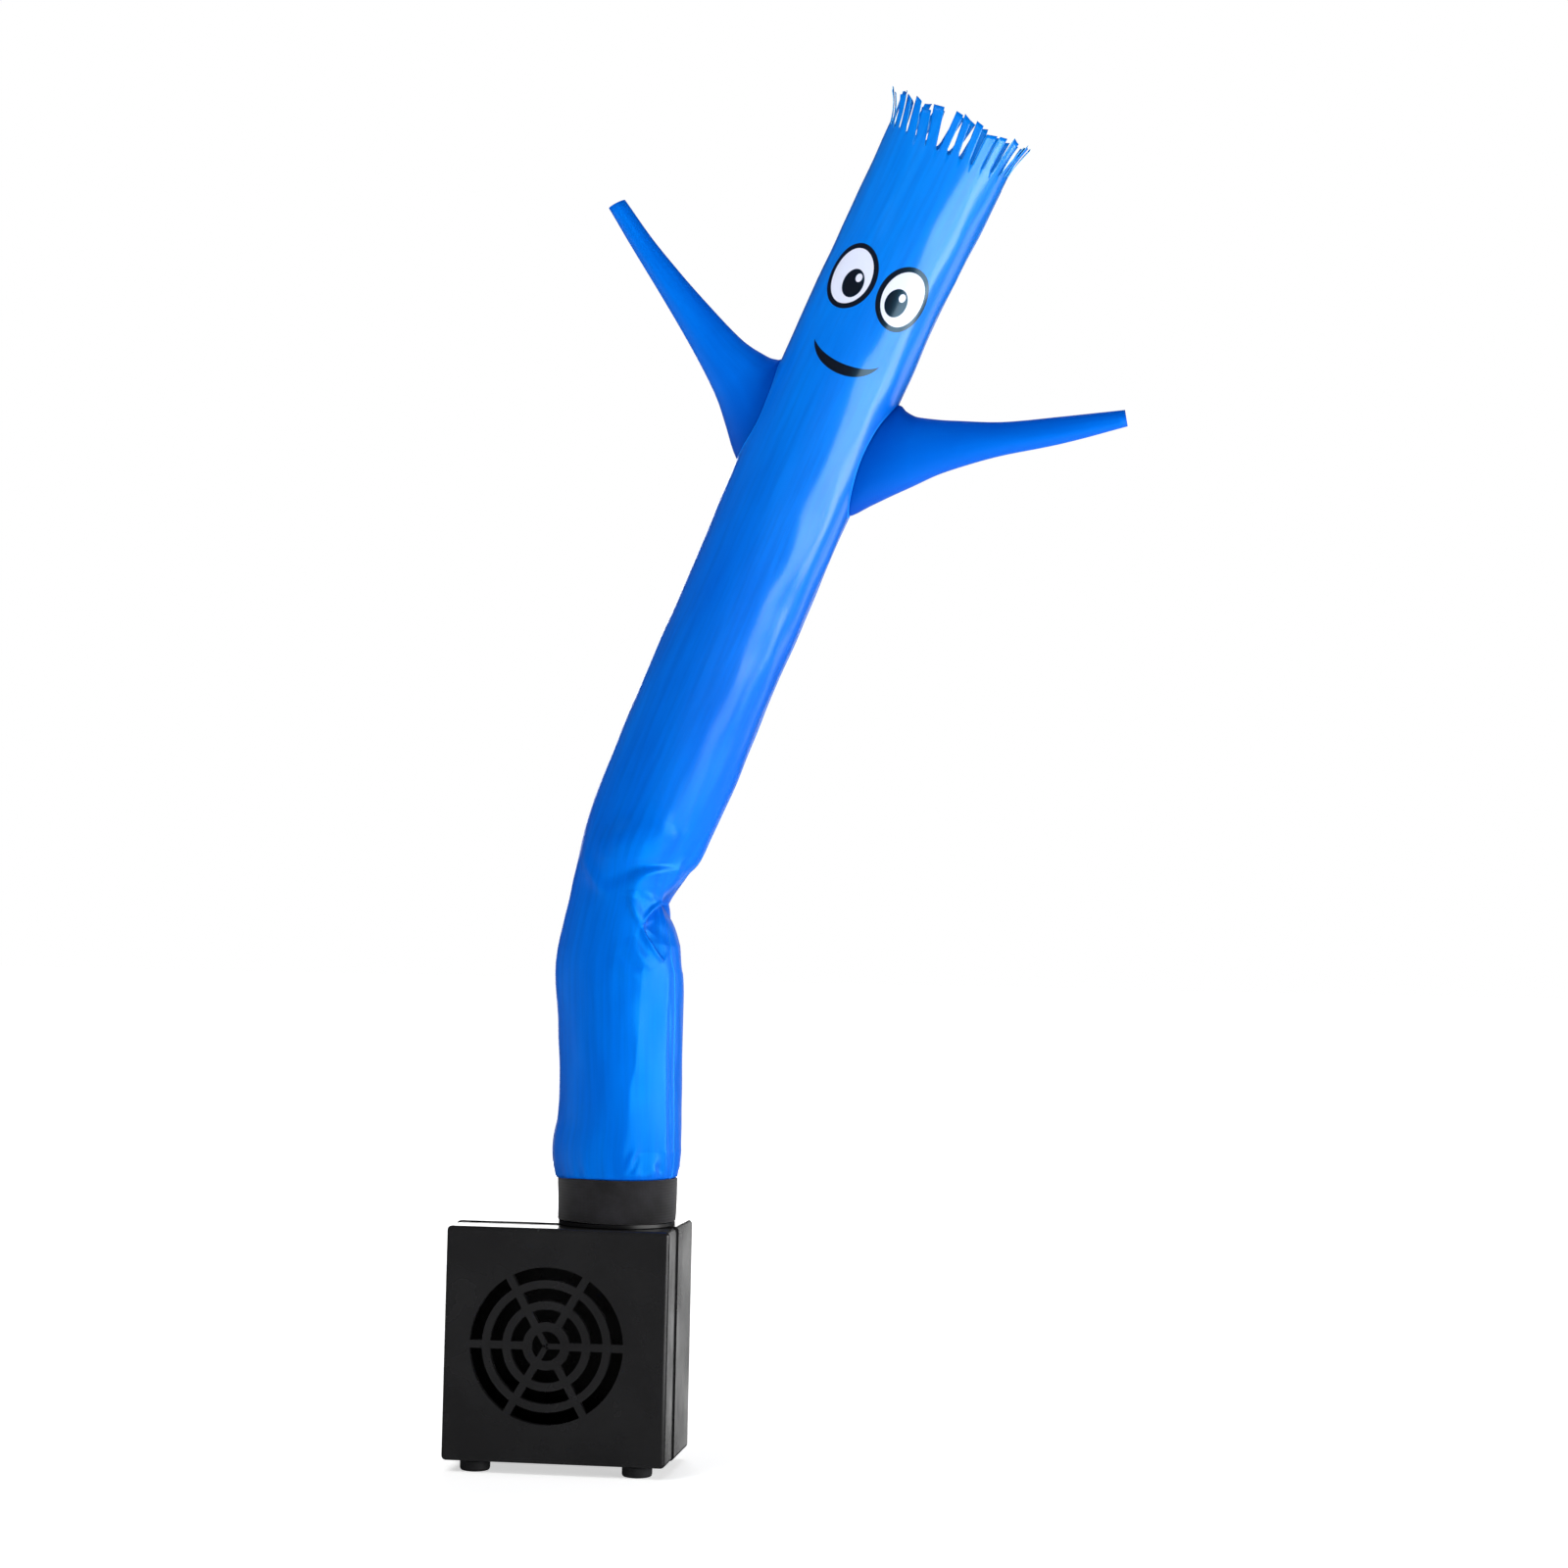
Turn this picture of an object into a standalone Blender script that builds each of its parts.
"""A desk-top air dancer on its fan blower.

A tube of thin blue cloth with two cloth arms stands on the round outlet of a square black blower. A black band
holds the hem of the tube round the outlet. The air leaves through the fringed top and the open arm tips. The
tube has a fold above the blower and leans over to the right from there, and it bows a little to the front.

Sizes are in metres, +Z is up and -Y is the front. The origin is on the surface that the feet stand on, under
the middle of the whole outline.
"""

import math
import random

import bmesh
import bpy
from mathutils import Vector

# ---------------------------------------------------------------- driving sizes

# Blower housing, two half shells with a seam between them
HOUSING_WIDTH = 0.070
HOUSING_DEPTH = 0.044
HOUSING_HEIGHT = 0.072
EDGE_RADIUS = 0.0014
WALL = 0.0025
SEAM_FROM_FRONT = 0.0154
SEAM_GAP = 0.0004
LIP_WALL = 0.0014
LIP_REACH = 0.0022
GAP = 0.0003

# Feet
FOOT_RADIUS = 0.0047
FOOT_HEIGHT = 0.0032
FOOT_INSET = 0.0095
FOOT_SETBACK = 0.0067
FOOT_EDGE = 0.0009

# Grille: rings of slots round a three-armed centre
GRILLE_SHIFT = -0.0027
SPOKE_WIDTH = 0.0024
HUB_SPOKE_WIDTH = 0.0017
ARC_STEP = math.radians(12)
SLOT_RINGS = (
    # outer radius, inner radius, slots
    (0.0241, 0.0202, 6),
    (0.0177, 0.0138, 6),
    (0.0112, 0.0074, 6),
)
HUB_HOLE_RADIUS = 0.0045

# Outlet and band
NECK_SHIFT = 0.0146
SPIGOT_RADIUS = 0.0156
SPIGOT_BORE = 0.0136
SPIGOT_RISE = 0.0135
FLANGE_RADIUS = 0.0183
FLANGE_HEIGHT = 0.0010
KEEPER_RADIUS = 0.0175
KEEPER_HEIGHT = 0.0012
BAND_FOOT = 0.0016
BAND_TOP = 0.0150
BAND_FOOT_RADIUS = 0.0185
BAND_TOP_RADIUS = 0.0189
BAND_WALL = 0.0011
TURNED_STEPS = 72

# Power inlet in the back wall
INLET_WIDTH = 0.0102
INLET_HEIGHT = 0.0044
INLET_DEPTH = 0.0080
INLET_RIM = 0.0008
INLET_POCKET = 0.0062
INLET_SHIFT = -0.018
INLET_RISE = 0.014
TONGUE_WIDTH = 0.0064
TONGUE_HEIGHT = 0.0007
TONGUE_REACH = 0.0048

# Where things stand
NECK_X = -0.0536
NECK_Y = 0.0110
HOUSING_X = NECK_X - NECK_SHIFT
HOUSING_BOTTOM = FOOT_HEIGHT + GAP
HOUSING_TOP = HOUSING_BOTTOM + HOUSING_HEIGHT
HOUSING_FRONT = NECK_Y - HOUSING_DEPTH / 2
HOUSING_BACK = NECK_Y + HOUSING_DEPTH / 2
SEAM_Y = HOUSING_FRONT + SEAM_FROM_FRONT

# Cloth
CLOTH = 0.001
HEM_BOTTOM = HOUSING_TOP + BAND_FOOT + 0.0002
HEM_RADIUS = 0.01702
BAND_CLEAR = HOUSING_TOP + BAND_TOP + GAP
TUBE_SECTIONS = (
    # up, across from the outlet's axis, half width, half depth
    (HEM_BOTTOM, 0.0000, HEM_RADIUS, HEM_RADIUS),
    (BAND_CLEAR, 0.0000, HEM_RADIUS, HEM_RADIUS),
    (0.0928, -0.0001, 0.0195, 0.0190),
    (0.0990, -0.0005, 0.0201, 0.0196),
    (0.1075, 0.0002, 0.0193, 0.0201),
    (0.1150, 0.0004, 0.0190, 0.0205),
    (0.1400, -0.0004, 0.0197, 0.0202),
    (0.1550, -0.0010, 0.0202, 0.0201),
    (0.1660, 0.0004, 0.0199, 0.0203),
    (0.1780, 0.0026, 0.0195, 0.0206),
    (0.1900, 0.0042, 0.0185, 0.0206),
    (0.2020, 0.0079, 0.0193, 0.0204),
    (0.2256, 0.0172, 0.0197, 0.0203),
    (0.2600, 0.0314, 0.0198, 0.0201),
    (0.3178, 0.0560, 0.0195, 0.0203),
    (0.3634, 0.0761, 0.0197, 0.0201),
    (0.3860, 0.0870, 0.0197, 0.0200),
    (0.4090, 0.0981, 0.0200, 0.0199),
    (0.4400, 0.1131, 0.0203, 0.0199),
)
BOW_START = 0.180
BOW_RADIUS = 1.404

# Folds: a long soft dent or ridge lies at a place, runs at an angle and fades out over its length and width
TUBE_RADIUS = 0.0200
FOLDS = (
    # along, around, run, half length, half width, height
    (0.1020, 0, 0, 0.0230, 0.0050, -0.0040),
    (0.1010, 8, 0, 0.0200, 0.0125, -0.0053),
    (0.0940, 49, 35, 0.0050, 0.0034, -0.0024),
    (0.1125, 48, -30, 0.0110, 0.0030, 0.0014),
    (0.1005, 82, 88, 0.0060, 0.0030, 0.0012),
    (0.0900, 54, 48, 0.0065, 0.0028, 0.0012),
    (0.1120, 80, -18, 0.0130, 0.0030, -0.0012),
    (0.1080, 126, 40, 0.0080, 0.0035, 0.0008),
    (0.0855, 64, 42, 0.0050, 0.0024, 0.0007),
    (0.0795, 70, 28, 0.0050, 0.0024, 0.0006),
    (0.1260, 50, 29, 0.0130, 0.0038, -0.0008),
    (0.1240, 104, 70, 0.0090, 0.0040, 0.0006),
    (0.0960, -36, 40, 0.0080, 0.0040, -0.0018),
    (0.0880, -62, -35, 0.0100, 0.0035, 0.0009),
    (0.1120, -54, 25, 0.0120, 0.0035, 0.0010),
    (0.0210, 62, -50, 0.0060, 0.0028, -0.0007),
    (0.0240, 205, 70, 0.0080, 0.0035, 0.0006),
    (0.0500, 250, 80, 0.0250, 0.0060, -0.0007),
    (0.2100, 215, 85, 0.0500, 0.0070, -0.0006),
)

# Rings of the tube's surface: up to each place along it, one every step
RING_STEPS = (
    # until, step
    (0.0134, 0.0134),
    (0.0154, 0.0020),
    (0.0240, 0.0043),
    (0.0760, 0.0104),
    (0.1290, 0.0026),
    (0.3490, 0.0138),
)

# Fringe: strips cut in the top of the tube
STRIPS = 32
SLIT_WIDTH = 0.0013
FRINGE_ROOT = 0.3579
ROOT_DROP = 0.0032
STRIP_REACH = (0.0086, 0.0110)
STRIP_SPLAY = (0.00, 0.30)
FRINGE_SEED = 11

# Arms, from the open tip to the root inside the tube
LEFT_ARM = (
    # across, up, half height, turn of the section, half depth
    (-0.0046, 0.3986, 0.0029, 27, 0.0028),
    (0.0036, 0.3860, 0.0035, 30, 0.0034),
    (0.0113, 0.3752, 0.0044, 34, 0.0043),
    (0.0197, 0.3638, 0.0057, 33, 0.0056),
    (0.0286, 0.3520, 0.0076, 31, 0.0070),
    (0.0358, 0.3432, 0.0106, 42, 0.0083),
    (0.0390, 0.3384, 0.0137, 53, 0.0090),
    (0.0414, 0.3334, 0.0174, 66, 0.0094),
    (0.0474, 0.3311, 0.0180, 66, 0.0096),
)
RIGHT_ARM = (
    (0.1565, 0.3307, 0.0026, 100, 0.0026),
    (0.1351, 0.3268, 0.0043, 92, 0.0042),
    (0.1193, 0.3245, 0.0051, 99, 0.0052),
    (0.1039, 0.3228, 0.0074, 105, 0.0068),
    (0.0961, 0.3216, 0.0090, 96, 0.0078),
    (0.0881, 0.3193, 0.0123, 77, 0.0088),
    (0.0824, 0.3182, 0.0157, 70, 0.0094),
    (0.0775, 0.3175, 0.0191, 66, 0.0097),
    (0.0711, 0.3203, 0.0191, 66, 0.0099),
)
ARM_SIDES = 18
ARM_BETWEEN = 1
PASSAGE_INSET = 0.0030


# ---------------------------------------------------------------- scene, materials and objects


def clear_scene():
    for obj in list(bpy.data.objects):
        bpy.data.objects.remove(obj, do_unlink=True)


def collection(name):
    made = bpy.data.collections.new(name)
    bpy.context.scene.collection.children.link(made)
    return made


def material(name, colour, roughness, metallic=0.0):
    made = bpy.data.materials.new(name)
    made.use_nodes = True
    shader = made.node_tree.nodes["Principled BSDF"]
    shader.inputs["Base Color"].default_value = (*colour, 1.0)
    shader.inputs["Roughness"].default_value = roughness
    shader.inputs["Metallic"].default_value = metallic
    return made


def add_object(name, mesh, finish, into):
    obj = bpy.data.objects.new(name, mesh)
    if finish:
        mesh.materials.append(finish)
    into.objects.link(obj)
    return obj


def mesh_from(bm, name):
    bmesh.ops.recalc_face_normals(bm, faces=bm.faces)
    mesh = bpy.data.meshes.new(name)
    bm.to_mesh(mesh)
    bm.free()
    return mesh


def hide_cutter(obj):
    obj.hide_render = True
    obj.display_type = "WIRE"
    return obj


def add_boolean(obj, other, operation="DIFFERENCE"):
    cut = obj.modifiers.new(other.name, "BOOLEAN")
    cut.operation = operation
    cut.solver = "EXACT"
    cut.object = other


# ---------------------------------------------------------------- shared shapes


def block(name, low, high, finish, into, rounded=lambda edge: False):
    """A box between two corners, with the edges that the test picks rounded."""
    bm = bmesh.new()
    bmesh.ops.create_cube(bm, size=1.0)
    size = Vector(high) - Vector(low)
    bmesh.ops.scale(bm, vec=size, verts=bm.verts)
    bmesh.ops.translate(bm, vec=(Vector(low) + Vector(high)) / 2, verts=bm.verts)
    picked = [edge for edge in bm.edges if rounded(edge)]
    if picked:
        bmesh.ops.bevel(bm, geom=picked, offset=EDGE_RADIUS, segments=4, profile=0.5, affect="EDGES")
    return add_object(name, mesh_from(bm, name), finish, into)


def turned(name, profile, centre, finish, into):
    """A closed (radius, height) profile, which runs down its outer side, turned about the vertical."""
    bm = bmesh.new()
    points = [bm.verts.new((radius, 0.0, height)) for radius, height in profile]
    for index, point in enumerate(points):
        bm.edges.new((point, points[(index + 1) % len(points)]))
    mesh = bpy.data.meshes.new(name)
    bm.to_mesh(mesh)
    bm.free()
    obj = add_object(name, mesh, finish, into)
    obj.location = centre
    screw = obj.modifiers.new("Turn", "SCREW")
    screw.steps = screw.render_steps = TURNED_STEPS
    screw.use_merge_vertices = True
    screw.merge_threshold = 0.00001
    return obj


def drum(name, radius, low, high, into):
    """An upright cylinder on the outlet's axis."""
    bm = bmesh.new()
    bmesh.ops.create_cone(
        bm, cap_ends=True, segments=TURNED_STEPS, radius1=radius, radius2=radius, depth=high - low
    )
    bmesh.ops.translate(bm, vec=(NECK_X, NECK_Y, (low + high) / 2), verts=bm.verts)
    return add_object(name, mesh_from(bm, name), None, into)


def plate_along_y(name, outlines, centre, low_y, high_y, finish, into):
    """Flat outlines in X and Z, filled and drawn out along Y."""
    curve = bpy.data.curves.new(name, "CURVE")
    curve.dimensions = "2D"
    curve.fill_mode = "BOTH"
    curve.extrude = (high_y - low_y) / 2
    for outline in outlines:
        spline = curve.splines.new("POLY")
        spline.points.add(len(outline) - 1)
        for point, (x, z) in zip(spline.points, outline):
            point.co = (x, z, 0.0, 1.0)
        spline.use_cyclic_u = True
    flat = bpy.data.objects.new(name + "_outline", curve)
    into.objects.link(flat)
    flat.location = (centre[0], (low_y + high_y) / 2, centre[1])
    flat.rotation_euler = (math.pi / 2, 0.0, 0.0)
    bpy.context.view_layer.update()
    solid = bpy.data.meshes.new_from_object(flat.evaluated_get(bpy.context.evaluated_depsgraph_get()))
    solid.materials.clear()
    bm = bmesh.new()
    bm.from_mesh(solid)
    bmesh.ops.remove_doubles(bm, verts=bm.verts, dist=0.000001)
    bmesh.ops.recalc_face_normals(bm, faces=bm.faces)
    bm.to_mesh(solid)
    bm.free()
    obj = add_object(name, solid, finish, into)
    obj.matrix_world = flat.matrix_world
    bpy.data.objects.remove(flat, do_unlink=True)
    return obj


def arc(radius, start, end):
    """Points of an arc about the origin, both ends included."""
    count = max(2, math.ceil(abs(end - start) / ARC_STEP))
    angles = [start + (end - start) * step / count for step in range(count + 1)]
    return [(radius * math.cos(angle), radius * math.sin(angle)) for angle in angles]


def stadium(width, height):
    """A flat outline with round ends."""
    radius = height / 2
    reach = width / 2 - radius
    right = [(reach + x, z) for x, z in arc(radius, -math.pi / 2, math.pi / 2)]
    left = [(x - reach, z) for x, z in arc(radius, math.pi / 2, 3 * math.pi / 2)]
    return right + left


# ---------------------------------------------------------------- blower


def slot_outlines():
    """The grille's slots. Their ends run parallel to the spokes between them."""
    outlines = []
    for outer, inner, count in SLOT_RINGS:
        pitch = 2 * math.pi / count
        for index in range(count):
            start = index * pitch
            outer_cut = math.asin(SPOKE_WIDTH / 2 / outer)
            inner_cut = math.asin(SPOKE_WIDTH / 2 / inner)
            outside = arc(outer, start + outer_cut, start + pitch - outer_cut)
            inside = arc(inner, start + pitch - inner_cut, start + inner_cut)
            outlines.append(outside + inside)
    third = 2 * math.pi / 3
    for index in range(3):
        start = index * third
        cut = math.asin(HUB_SPOKE_WIDTH / 2 / HUB_HOLE_RADIUS)
        corner = HUB_SPOKE_WIDTH / 2 / math.sin(third / 2)
        middle = start + third / 2
        rim = arc(HUB_HOLE_RADIUS, start + cut, start + third - cut)
        outlines.append(rim + [(corner * math.cos(middle), corner * math.sin(middle))])
    return outlines


def shell_block(name, low_y, high_y, closed_y, finish, into):
    """A half of the housing before it is hollowed: its closed side and its four long edges are rounded."""

    def rounded(edge):
        ends = [vertex.co.y for vertex in edge.verts]
        along_y = abs(ends[0] - ends[1]) > WALL
        on_closed_side = all(abs(y - closed_y) < GAP for y in ends)
        return along_y or on_closed_side

    low = (HOUSING_X - HOUSING_WIDTH / 2, low_y, HOUSING_BOTTOM)
    high = (HOUSING_X + HOUSING_WIDTH / 2, high_y, HOUSING_TOP)
    return block(name, low, high, finish, into, rounded)


def cavity(name, inset, low_y, high_y, into):
    """A cutter as wide and high as the housing less an inset on each side."""
    low = (HOUSING_X - HOUSING_WIDTH / 2 + inset, low_y, HOUSING_BOTTOM + inset)
    high = (HOUSING_X + HOUSING_WIDTH / 2 - inset, high_y, HOUSING_TOP - inset)
    return hide_cutter(block(name, low, high, None, into))


def outlet_hole(cutters):
    radius = SPIGOT_RADIUS + GAP
    return hide_cutter(drum("outlet_hole", radius, HOUSING_TOP - 3 * WALL, HOUSING_TOP + WALL, cutters))


def build_front_shell(finish, parts, cutters):
    rim = SEAM_Y - SEAM_GAP / 2
    shell = shell_block("blower_front_shell", HOUSING_FRONT, rim, HOUSING_FRONT, finish, parts)
    add_boolean(shell, cavity("front_cavity", WALL, HOUSING_FRONT + WALL, SEAM_Y + WALL, cutters))
    centre = (HOUSING_X + GRILLE_SHIFT, HOUSING_BOTTOM + HOUSING_HEIGHT / 2)
    slots = plate_along_y(
        "grille_slots", slot_outlines(), centre, HOUSING_FRONT - WALL, HOUSING_FRONT + 2 * WALL, None, cutters
    )
    add_boolean(shell, hide_cutter(slots))
    add_boolean(shell, outlet_hole(cutters))
    return shell


def build_rear_shell(finish, parts, cutters):
    """The rear half carries a lip that reaches inside the front half's rim."""
    rim = SEAM_Y + SEAM_GAP / 2
    shell = shell_block("blower_rear_shell", rim, HOUSING_BACK, HOUSING_BACK, finish, parts)
    lip_outside = WALL + GAP
    lip = cavity("lip_outside", lip_outside, SEAM_Y - LIP_REACH, SEAM_Y + 2 * LIP_REACH, cutters)
    add_boolean(shell, lip, "UNION")
    lip_inside = lip_outside + LIP_WALL
    add_boolean(shell, cavity("lip_inside", lip_inside, SEAM_Y - WALL, SEAM_Y + 3 * LIP_REACH, cutters))
    add_boolean(shell, cavity("rear_cavity", WALL, SEAM_Y + 2 * LIP_REACH, HOUSING_BACK - WALL, cutters))
    add_boolean(shell, outlet_hole(cutters))
    keeper_room = drum(
        "keeper_room",
        KEEPER_RADIUS + GAP,
        HOUSING_TOP - WALL - 4 * KEEPER_HEIGHT,
        HOUSING_TOP - WALL,
        cutters,
    )
    add_boolean(shell, hide_cutter(keeper_room))
    inlet = plate_along_y(
        "inlet_hole",
        [stadium(INLET_WIDTH + 2 * GAP, INLET_HEIGHT + 2 * GAP)],
        (HOUSING_X + INLET_SHIFT, HOUSING_BOTTOM + INLET_RISE),
        HOUSING_BACK - 2 * WALL,
        HOUSING_BACK + WALL,
        None,
        cutters,
    )
    add_boolean(shell, hide_cutter(inlet))
    return shell


def build_spigot(finish, parts):
    """The round outlet: a short tube with a flange on the housing and a keeper under its top wall."""
    flange_foot = GAP
    flange_top = GAP + FLANGE_HEIGHT
    keeper_top = -WALL - GAP
    profile = (
        (SPIGOT_BORE, SPIGOT_RISE),
        (SPIGOT_RADIUS, SPIGOT_RISE),
        (SPIGOT_RADIUS, flange_top),
        (FLANGE_RADIUS, flange_top),
        (FLANGE_RADIUS, flange_foot),
        (SPIGOT_RADIUS, flange_foot),
        (SPIGOT_RADIUS, keeper_top),
        (KEEPER_RADIUS, keeper_top),
        (KEEPER_RADIUS, keeper_top - KEEPER_HEIGHT),
        (SPIGOT_BORE, keeper_top - KEEPER_HEIGHT),
    )
    return turned("outlet_spigot", profile, (NECK_X, NECK_Y, HOUSING_TOP), finish, parts)


def build_band(finish, parts):
    profile = (
        (BAND_TOP_RADIUS - BAND_WALL, BAND_TOP),
        (BAND_TOP_RADIUS, BAND_TOP),
        (BAND_FOOT_RADIUS, BAND_FOOT),
        (BAND_FOOT_RADIUS - BAND_WALL, BAND_FOOT),
    )
    return turned("neck_band", profile, (NECK_X, NECK_Y, HOUSING_TOP), finish, parts)


def build_inlet(finish, parts, cutters):
    """The socket for the power lead: a sleeve with a closed back and a tongue."""
    centre = (HOUSING_X + INLET_SHIFT, HOUSING_BOTTOM + INLET_RISE)
    mouth = HOUSING_BACK - GAP
    back = mouth - INLET_DEPTH
    floor = mouth - INLET_POCKET
    socket = plate_along_y(
        "power_inlet", [stadium(INLET_WIDTH, INLET_HEIGHT)], centre, back, mouth, finish, parts
    )
    pocket = plate_along_y(
        "inlet_pocket",
        [stadium(INLET_WIDTH - 2 * INLET_RIM, INLET_HEIGHT - 2 * INLET_RIM)],
        centre,
        floor,
        mouth + WALL,
        None,
        cutters,
    )
    add_boolean(socket, hide_cutter(pocket))
    tongue = block(
        "inlet_tongue",
        (centre[0] - TONGUE_WIDTH / 2, floor - INLET_RIM, centre[1] - TONGUE_HEIGHT / 2),
        (centre[0] + TONGUE_WIDTH / 2, floor + TONGUE_REACH, centre[1] + TONGUE_HEIGHT / 2),
        None,
        cutters,
    )
    add_boolean(socket, hide_cutter(tongue), "UNION")
    return socket


def build_feet(finish, parts):
    for row, y in (("front", HOUSING_FRONT + FOOT_SETBACK), ("rear", HOUSING_BACK - FOOT_SETBACK)):
        for side, sign in (("left", -1), ("right", 1)):
            bm = bmesh.new()
            bmesh.ops.create_cone(
                bm, cap_ends=True, segments=32, radius1=FOOT_RADIUS, radius2=FOOT_RADIUS, depth=FOOT_HEIGHT
            )
            under = [e for e in bm.edges if all(v.co.z < 0 for v in e.verts)]
            bmesh.ops.bevel(bm, geom=under, offset=FOOT_EDGE, segments=3, profile=0.5, affect="EDGES")
            name = f"foot_{row}_{side}"
            foot = add_object(name, mesh_from(bm, name), finish, parts)
            foot.location = (HOUSING_X + sign * (HOUSING_WIDTH / 2 - FOOT_INSET), y, FOOT_HEIGHT / 2)


# ---------------------------------------------------------------- cloth


def slopes(places, values):
    """The slope of a smooth line through the values, with no overshoot between them."""
    steps = [
        (after - before) / (place_after - place)
        for before, after, place, place_after in zip(values, values[1:], places, places[1:])
    ]
    inner = [2 * a * b / (a + b) if a * b > 0 else 0.0 for a, b in zip(steps, steps[1:])]
    return [steps[0], *inner, steps[-1]]


class SmoothTable:
    """Rows of numbers at places along a line, read anywhere between them."""

    def __init__(self, places, rows):
        self.places = places
        self.columns = list(zip(*rows))
        self.slopes = [slopes(places, column) for column in self.columns]

    def at(self, place):
        """(values, slopes) at a place. Past the ends the table runs straight on."""
        last = len(self.places) - 2
        index = min(max(0, sum(p <= place for p in self.places) - 1), last)
        start = self.places[index]
        width = self.places[index + 1] - start
        share = (place - start) / width
        if share > 1:
            return (
                [c[-1] + s[-1] * (place - self.places[-1]) for c, s in zip(self.columns, self.slopes)],
                [s[-1] for s in self.slopes],
            )
        values, rates = [], []
        for column, slope in zip(self.columns, self.slopes):
            low, high = column[index], column[index + 1]
            out, into = slope[index] * width, slope[index + 1] * width
            bend = 3 * (high - low) - 2 * out - into
            twist = 2 * (low - high) + out + into
            values.append(low + share * (out + share * (bend + share * twist)))
            rates.append((out + share * (2 * bend + share * 3 * twist)) / width)
        return values, rates


def lengths_along(points):
    """The running length of a line through points."""
    places = [0.0]
    for before, after in zip(points, points[1:]):
        places.append(places[-1] + math.dist(before, after))
    return places


TUBE = SmoothTable(lengths_along([(row[1], row[0]) for row in TUBE_SECTIONS]), TUBE_SECTIONS)


def bowed(x, y, z):
    """A place on cloth that stands straight up, after the cloth bows to the front along an arc."""
    if z <= BOW_START:
        return Vector((x, y + NECK_Y, z))
    angle = (z - BOW_START) / BOW_RADIUS
    forward = -BOW_RADIUS * (1 - math.cos(angle))
    height = BOW_START + BOW_RADIUS * math.sin(angle)
    return Vector((x, forward + y * math.cos(angle) + NECK_Y, height + y * math.sin(angle)))


def fold_height(along, around):
    """How far the folds push the cloth out, or in where it is negative."""
    total = 0.0
    for place, bearing, run, half_length, half_width, height in FOLDS:
        turn = (around - math.radians(bearing) + math.pi) % (2 * math.pi) - math.pi
        sideways = turn * TUBE_RADIUS
        upwards = along - place
        direction = math.radians(run)
        lengthwise = sideways * math.cos(direction) + upwards * math.sin(direction)
        crosswise = upwards * math.cos(direction) - sideways * math.sin(direction)
        total += height * math.exp(-((lengthwise / half_length) ** 2) - (crosswise / half_width) ** 2)
    return total


def tube_point(along, around, out=0.0):
    """A place on the tube. Around starts at the right side and goes by the front to the left."""
    (up, across, half_width, half_depth), (rise, drift, _, _) = TUBE.at(along)
    lean = math.atan2(drift, rise)
    push = fold_height(along, around) + out
    side = math.cos(around) * (half_width + push)
    front = math.sin(around) * (half_depth + push)
    return bowed(NECK_X + across + side * math.cos(lean), -front, up - side * math.sin(lean))


def ring_places():
    places = [0.0]
    for until, step in RING_STEPS:
        count = max(1, round((until - places[-1]) / step))
        start = places[-1]
        places += [start + (until - start) * (index + 1) / count for index in range(count)]
    return places


def join_rings(bm, rings):
    """Quads between rings of as many points."""
    for lower, upper in zip(rings, rings[1:]):
        for index in range(len(lower)):
            following = (index + 1) % len(lower)
            bm.faces.new((lower[index], lower[following], upper[following], upper[index]))


def tube_rings(bm, places, out=0.0):
    angles = [2 * math.pi * index / STRIPS for index in range(STRIPS)]
    return [[bm.verts.new(tube_point(along, angle, out)) for angle in angles] for along in places]


def root_drop(index):
    """The slits are cut a little deeper at the front."""
    return ROOT_DROP * max(0.0, math.sin(2 * math.pi * index / STRIPS))


def add_fringe(bm, roots, rng):
    """A strip on each column of the tube: it narrows at once by the slit and runs on to an uneven end."""
    column = 2 * math.pi / STRIPS
    slit = SLIT_WIDTH / 2 / TUBE_RADIUS
    for index in range(STRIPS):
        start = FRINGE_ROOT - root_drop(index + 0.5)
        length = rng.uniform(*STRIP_REACH) + root_drop(index + 0.5)
        splay = rng.uniform(*STRIP_SPLAY)
        sway = rng.uniform(-0.12, 0.12)
        below = (roots[index], roots[(index + 1) % STRIPS])
        for share in (0.12, 0.5, 1.0):
            reach = share * length
            out = splay * reach * share
            turn = sway * share * column
            left = tube_point(start + reach, index * column + slit + turn, out)
            right = tube_point(start + reach, (index + 1) * column - slit + turn, out)
            above = (bm.verts.new(left), bm.verts.new(right))
            bm.faces.new((below[0], below[1], above[1], above[0]))
            below = above


def face_outwards(bm, first_ring):
    """Turns an open sleeve's faces away from the middle of its first ring."""
    bmesh.ops.recalc_face_normals(bm, faces=bm.faces)
    bm.faces.ensure_lookup_table()
    middle = sum((vertex.co for vertex in first_ring), Vector()) / len(first_ring)
    first = bm.faces[0]
    first.normal_update()
    if first.normal.dot(first.calc_center_median() - middle) < 0:
        bmesh.ops.reverse_faces(bm, faces=bm.faces)


def add_cloth_thickness(obj):
    solid = obj.modifiers.new("Cloth", "SOLIDIFY")
    solid.thickness = CLOTH
    solid.offset = -1.0


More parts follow.
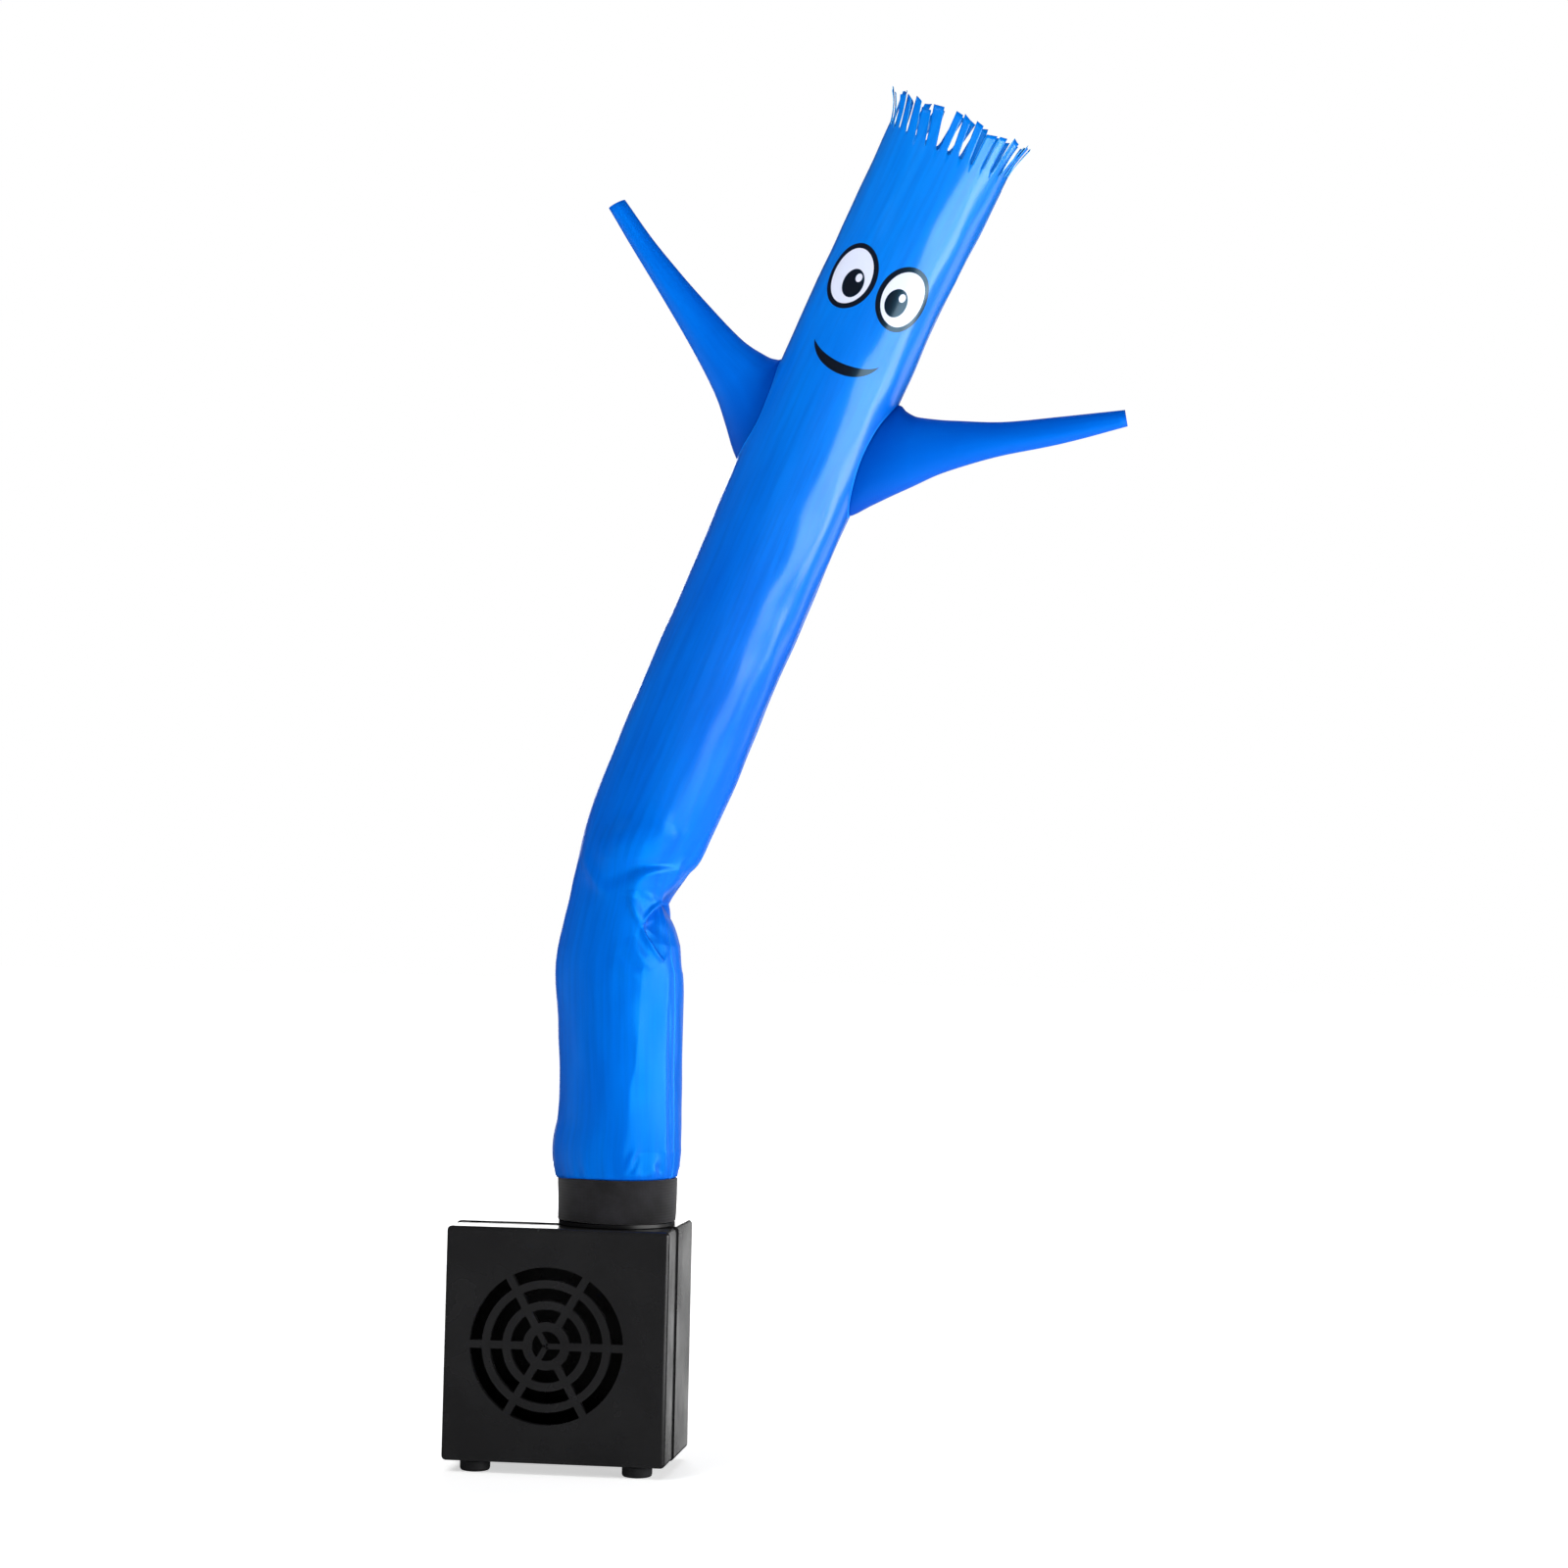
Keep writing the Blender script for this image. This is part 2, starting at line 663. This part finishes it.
def build_tube(finish, parts, cutters):
    rng = random.Random(FRINGE_SEED)
    bm = bmesh.new()
    rings = tube_rings(bm, ring_places())
    roots = []
    for index in range(STRIPS):
        along = FRINGE_ROOT - root_drop(index) - rng.uniform(0.0, 0.0014)
        roots.append(bm.verts.new(tube_point(along, 2 * math.pi * index / STRIPS)))
    join_rings(bm, [*rings, roots])
    add_fringe(bm, roots, rng)
    face_outwards(bm, rings[0])
    mesh = bpy.data.meshes.new("dancer_tube")
    bm.to_mesh(mesh)
    bm.free()
    tube = add_object("dancer_tube", mesh, finish, parts)
    add_cloth_thickness(tube)
    for name, rows in (("left", LEFT_ARM), ("right", RIGHT_ARM)):
        add_boolean(tube, arm_passage(name + "_passage", rows, cutters))
    return tube


def arm_ring(bm, row, inset=0.0):
    """One oval section of an arm."""
    across, up, half_height, turn, half_depth = row
    direction = math.radians(turn)
    ring = []
    for index in range(ARM_SIDES):
        angle = 2 * math.pi * index / ARM_SIDES
        height = math.cos(angle) * (half_height - inset)
        depth = math.sin(angle) * (half_depth - inset)
        x = NECK_X + across + height * math.cos(direction)
        z = up + height * math.sin(direction)
        ring.append(bm.verts.new(bowed(x, depth, z)))
    return ring


def arm_rings(bm, rows, inset=0.0):
    """Sections of an arm, with more read between the rows of its table."""
    table = SmoothTable(lengths_along([row[:2] for row in rows]), rows)
    places = table.places
    between = ARM_BETWEEN + 1
    rings = []
    for start, end in zip(places, places[1:]):
        for step in range(between):
            rings.append(arm_ring(bm, table.at(start + (end - start) * step / between)[0], inset))
    rings.append(arm_ring(bm, table.at(places[-1])[0], inset))
    return rings


def arm_passage(name, rows, cutters):
    """A plug the size of an arm's hollow, which opens the tube's wall inside the arm's seam."""
    bm = bmesh.new()
    rings = arm_rings(bm, rows[-4:], PASSAGE_INSET)
    join_rings(bm, rings)
    bm.faces.new(rings[0])
    bm.faces.new(rings[-1])
    return hide_cutter(add_object(name, mesh_from(bm, name), None, cutters))


def tube_plug(cutters):
    """The tube's outside, filled and a gap larger, which shapes the arms' roots."""
    bm = bmesh.new()
    rings = tube_rings(bm, [place for place in ring_places() if place > 0.15], GAP)
    join_rings(bm, rings)
    bm.faces.new(rings[0])
    bm.faces.new(rings[-1])
    return hide_cutter(add_object("tube_plug", mesh_from(bm, "tube_plug"), None, cutters))


def build_arm(name, rows, plug, finish, parts):
    bm = bmesh.new()
    rings = arm_rings(bm, rows)
    join_rings(bm, rings)
    face_outwards(bm, rings[0])
    mesh = bpy.data.meshes.new(name)
    bm.to_mesh(mesh)
    bm.free()
    arm = add_object(name, mesh, finish, parts)
    add_cloth_thickness(arm)
    add_boolean(arm, plug)
    return arm


def main():
    clear_scene()
    parts = collection("air_dancer")
    cutters = collection("cutters")
    cutters.hide_render = True
    blue_cloth = material("blue_taffeta", (0.0, 0.175, 0.79), 0.35)
    black_cloth = material("black_webbing", (0.018, 0.018, 0.02), 0.8)
    black_plastic = material("black_abs", (0.012, 0.012, 0.013), 0.22)
    gloss_plastic = material("gloss_black_abs", (0.010, 0.010, 0.011), 0.15)
    steel = material("plated_steel", (0.55, 0.55, 0.56), 0.3, 1.0)
    rubber = material("black_rubber", (0.010, 0.010, 0.010), 0.7)

    build_front_shell(black_plastic, parts, cutters)
    build_rear_shell(black_plastic, parts, cutters)
    build_spigot(gloss_plastic, parts)
    build_inlet(steel, parts, cutters)
    build_feet(rubber, parts)
    build_band(black_cloth, parts)
    build_tube(blue_cloth, parts, cutters)
    plug = tube_plug(cutters)
    build_arm("left_arm", LEFT_ARM, plug, blue_cloth, parts)
    build_arm("right_arm", RIGHT_ARM, plug, blue_cloth, parts)


main()
